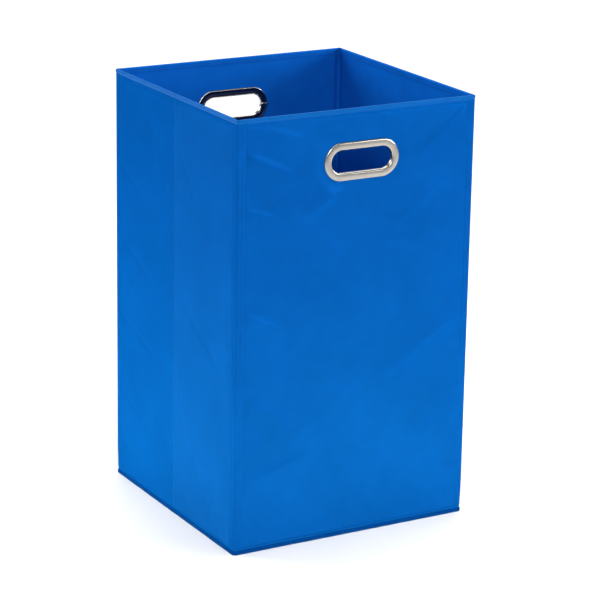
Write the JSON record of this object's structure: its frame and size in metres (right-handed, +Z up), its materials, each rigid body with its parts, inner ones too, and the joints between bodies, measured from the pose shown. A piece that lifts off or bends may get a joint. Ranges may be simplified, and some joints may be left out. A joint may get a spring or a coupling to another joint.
{
  "type": "folding laundry basket",
  "caption": "Tall square open-topped folding laundry basket of coated blue fabric over stiff boards, with creased sides, long oval metal handle grommets and a hinged floor flap.",
  "frame": {"origin": "centre of the foot, at floor height", "axes": "+Z up to the open rim; -Y towards the front handle wall; +X towards the right side wall"},
  "size_m": [0.3556, 0.3556, 0.5842],
  "materials": {
    "shell": "smooth coated non-woven fabric, soft sheen",
    "lining": "smooth coated non-woven fabric, matt",
    "binding": "woven binding tape, dark blue",
    "board": "plain grey-brown chipboard",
    "chrome": "polished nickel-chrome plate"
  },
  "bodies": {
    "back": {"back_cover": "shell", "back_board": "board", "back_lining": "lining", "back_top_hem": "shell", "back_base_binding": "binding", "back_handle_outer_ring": "chrome", "back_handle_inner_ring": "chrome", "corner_back_left": "shell", "corner_back_right": "shell", "base_fabric": "lining", "floor_hinge_strip": "lining"},
    "front": {"front_cover": "shell", "front_board": "board", "front_lining": "lining", "front_top_hem": "shell", "front_base_binding": "binding", "front_handle_outer_ring": "chrome", "front_handle_inner_ring": "chrome", "corner_front_left": "shell", "corner_front_right": "shell"},
    "left_rear": {"left_rear_cover": "shell", "left_rear_board": "board", "left_rear_lining": "lining", "left_rear_top_hem": "shell", "left_rear_base_binding": "binding", "crease_left": "shell"},
    "left_front": {"left_front_cover": "shell", "left_front_board": "board", "left_front_lining": "lining", "left_front_top_hem": "shell", "left_front_base_binding": "binding"},
    "right_rear": {"right_rear_cover": "shell", "right_rear_board": "board", "right_rear_lining": "lining", "right_rear_top_hem": "shell", "right_rear_base_binding": "binding", "crease_right": "shell"},
    "right_front": {"right_front_cover": "shell", "right_front_board": "board", "right_front_lining": "lining", "right_front_top_hem": "shell", "right_front_base_binding": "binding"},
    "floor_flap": {"floor_board": "board", "floor_cover": "lining"}
  },
  "joints": [
    {"name": "left_rear_corner", "type": "hinge", "parent": "back", "child": "left_rear", "pos_m": [-0.1726, 0.1688, 0.3], "axis": [0, 0, 1], "range_deg": [0, 90], "deforming": ["corner_back_left", "corner_back_right", "corner_front_left", "corner_front_right", "crease_left", "crease_right", "base_fabric"]},
    {"name": "left_crease", "type": "hinge", "parent": "left_rear", "child": "left_front", "pos_m": [-0.1781, -0.0014, 0.3], "axis": [0, 0, 1], "range_deg": [-180, 0]},
    {"name": "left_front_corner", "type": "hinge", "parent": "left_front", "child": "front", "pos_m": [-0.1726, -0.1716, 0.3], "axis": [0, 0, 1], "range_deg": [0, 90]},
    {"name": "right_rear_corner", "type": "hinge", "parent": "back", "child": "right_rear", "pos_m": [0.1726, 0.1688, 0.3], "axis": [0, 0, 1], "range_deg": [-90, 0]},
    {"name": "right_crease", "type": "hinge", "parent": "right_rear", "child": "right_front", "pos_m": [0.1781, -0.0014, 0.3], "axis": [0, 0, 1], "range_deg": [0, 180]},
    {"name": "floor_flap_hinge", "type": "hinge", "parent": "back", "child": "floor_flap", "pos_m": [0, 0.1722, 0.0091], "axis": [-1, 0, 0], "range_deg": [0, 90], "deforming": ["floor_hinge_strip"]}
  ],
  "couplings": [
    {"joint": "left_crease", "follows": "left_rear_corner", "ratio": -2},
    {"joint": "left_front_corner", "follows": "left_rear_corner", "ratio": 1},
    {"joint": "right_rear_corner", "follows": "left_rear_corner", "ratio": -1},
    {"joint": "right_crease", "follows": "left_rear_corner", "ratio": 2}
  ]
}
